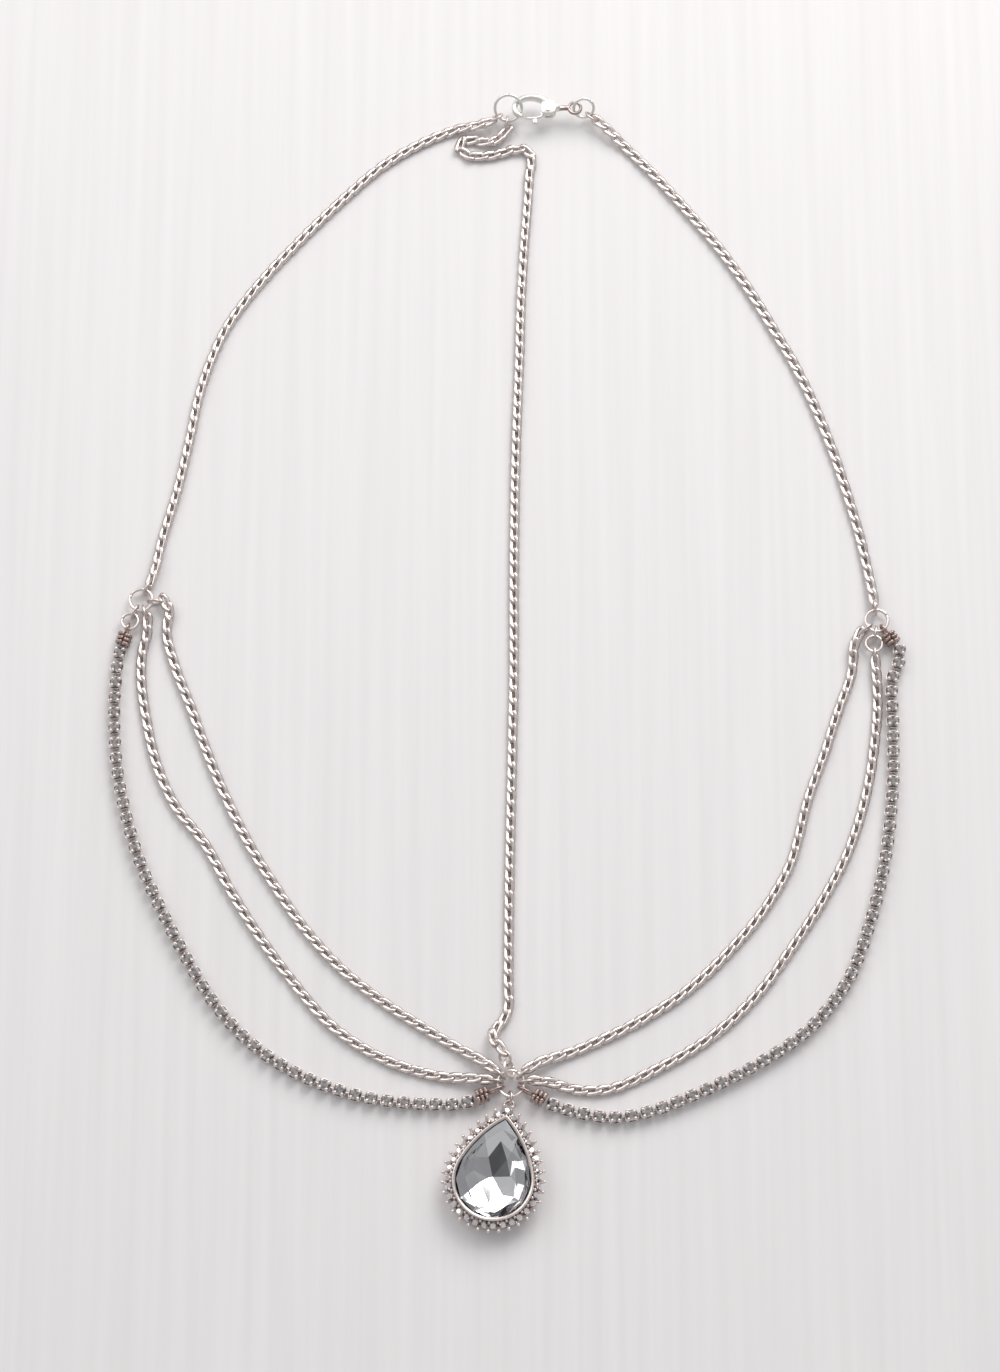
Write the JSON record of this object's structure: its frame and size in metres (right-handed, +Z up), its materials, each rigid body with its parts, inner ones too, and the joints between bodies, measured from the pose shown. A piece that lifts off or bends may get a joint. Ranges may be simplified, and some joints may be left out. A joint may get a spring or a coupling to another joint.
{
  "type": "forehead chain",
  "caption": "Forehead chain laid open: swags of curb and cup chain meet at a pear-shaped cut stone drop, with a chain over the crown and a lobster clasp behind.",
  "frame": {"origin": "middle of the whole laid-out piece on the surface that it lies on", "axes": "+Y from the drop to the clasp, +X to the viewer's right, +Z up from the surface"},
  "size_m": [0.1651, 0.2473, 0.0057],
  "materials": {
    "back_chain_left": "polished plated metal",
    "back_chain_right": "polished plated metal",
    "crown_chain": "polished plated metal",
    "inner_chain_left": "polished plated metal",
    "inner_chain_right": "polished plated metal",
    "middle_chain_left": "polished plated metal",
    "middle_chain_right": "polished plated metal",
    "back_chain_left_first_link": "polished plated metal",
    "back_chain_left_last_link": "polished plated metal",
    "back_chain_right_first_link": "polished plated metal",
    "back_chain_right_last_link": "polished plated metal",
    "crown_chain_first_link": "polished plated metal",
    "crown_chain_last_link": "polished plated metal",
    "inner_chain_left_first_link": "polished plated metal",
    "inner_chain_left_last_link": "polished plated metal",
    "inner_chain_right_first_link": "polished plated metal",
    "inner_chain_right_last_link": "polished plated metal",
    "middle_chain_left_first_link": "polished plated metal",
    "middle_chain_left_last_link": "polished plated metal",
    "middle_chain_right_first_link": "polished plated metal",
    "middle_chain_right_last_link": "polished plated metal",
    "left_lower_link": "polished plated metal",
    "right_lower_link": "polished plated metal",
    "pendant_link": "polished plated metal",
    "centre_ring": "polished plated metal",
    "crown_ring": "polished plated metal",
    "left_ring": "polished plated metal",
    "left_lower_ring": "polished plated metal",
    "right_ring": "polished plated metal",
    "right_lower_ring": "polished plated metal",
    "clasp_body": "polished pale plated metal",
    "clasp_lever": "polished pale plated metal",
    "clasp_hold_ring": "polished pale plated metal",
    "clasp_tail_ring": "polished pale plated metal",
    "cup_end_left_side": "dark copper plated metal",
    "cup_end_left_centre": "dark copper plated metal",
    "cup_end_right_side": "dark copper plated metal",
    "cup_end_right_centre": "dark copper plated metal",
    "cup_chain_left": "polished cups with clear cut stones",
    "cup_chain_right": "polished cups with clear cut stones",
    "pendant_setting": "polished setting with clear cut stones",
    "main_stone": "clear cut stone with a mirrored back"
  },
  "bodies": {
    "chain": {"back_chain_left": "back_chain_left", "back_chain_right": "back_chain_right", "crown_chain": "crown_chain", "inner_chain_left": "inner_chain_left", "inner_chain_right": "inner_chain_right", "middle_chain_left": "middle_chain_left", "middle_chain_right": "middle_chain_right", "back_chain_left_first_link": "back_chain_left_first_link", "back_chain_left_last_link": "back_chain_left_last_link", "back_chain_right_first_link": "back_chain_right_first_link", "back_chain_right_last_link": "back_chain_right_last_link", "crown_chain_first_link": "crown_chain_first_link", "crown_chain_last_link": "crown_chain_last_link", "inner_chain_left_first_link": "inner_chain_left_first_link", "inner_chain_left_last_link": "inner_chain_left_last_link", "inner_chain_right_first_link": "inner_chain_right_first_link", "inner_chain_right_last_link": "inner_chain_right_last_link", "middle_chain_left_first_link": "middle_chain_left_first_link", "middle_chain_left_last_link": "middle_chain_left_last_link", "middle_chain_right_first_link": "middle_chain_right_first_link", "middle_chain_right_last_link": "middle_chain_right_last_link", "left_lower_link": "left_lower_link", "right_lower_link": "right_lower_link", "pendant_link": "pendant_link", "centre_ring": "centre_ring", "crown_ring": "crown_ring", "left_ring": "left_ring", "left_lower_ring": "left_lower_ring", "right_ring": "right_ring", "right_lower_ring": "right_lower_ring", "clasp_body": "clasp_body", "clasp_hold_ring": "clasp_hold_ring", "clasp_tail_ring": "clasp_tail_ring", "cup_end_left_side": "cup_end_left_side", "cup_end_left_centre": "cup_end_left_centre", "cup_end_right_side": "cup_end_right_side", "cup_end_right_centre": "cup_end_right_centre", "cup_chain_left": "cup_chain_left", "cup_chain_right": "cup_chain_right", "pendant_setting": "pendant_setting", "main_stone": "main_stone"},
    "lever": {"clasp_lever": "clasp_lever"}
  },
  "joints": [
    {"name": "clasp_lever_pivot", "type": "hinge", "parent": "chain", "child": "lever", "pos_m": [0.0088, 0.1196, 0.00337], "axis": [0, 0, -1], "range_deg": [0, 22], "stiffness_Nm_per_rad": 0.002}
  ]
}
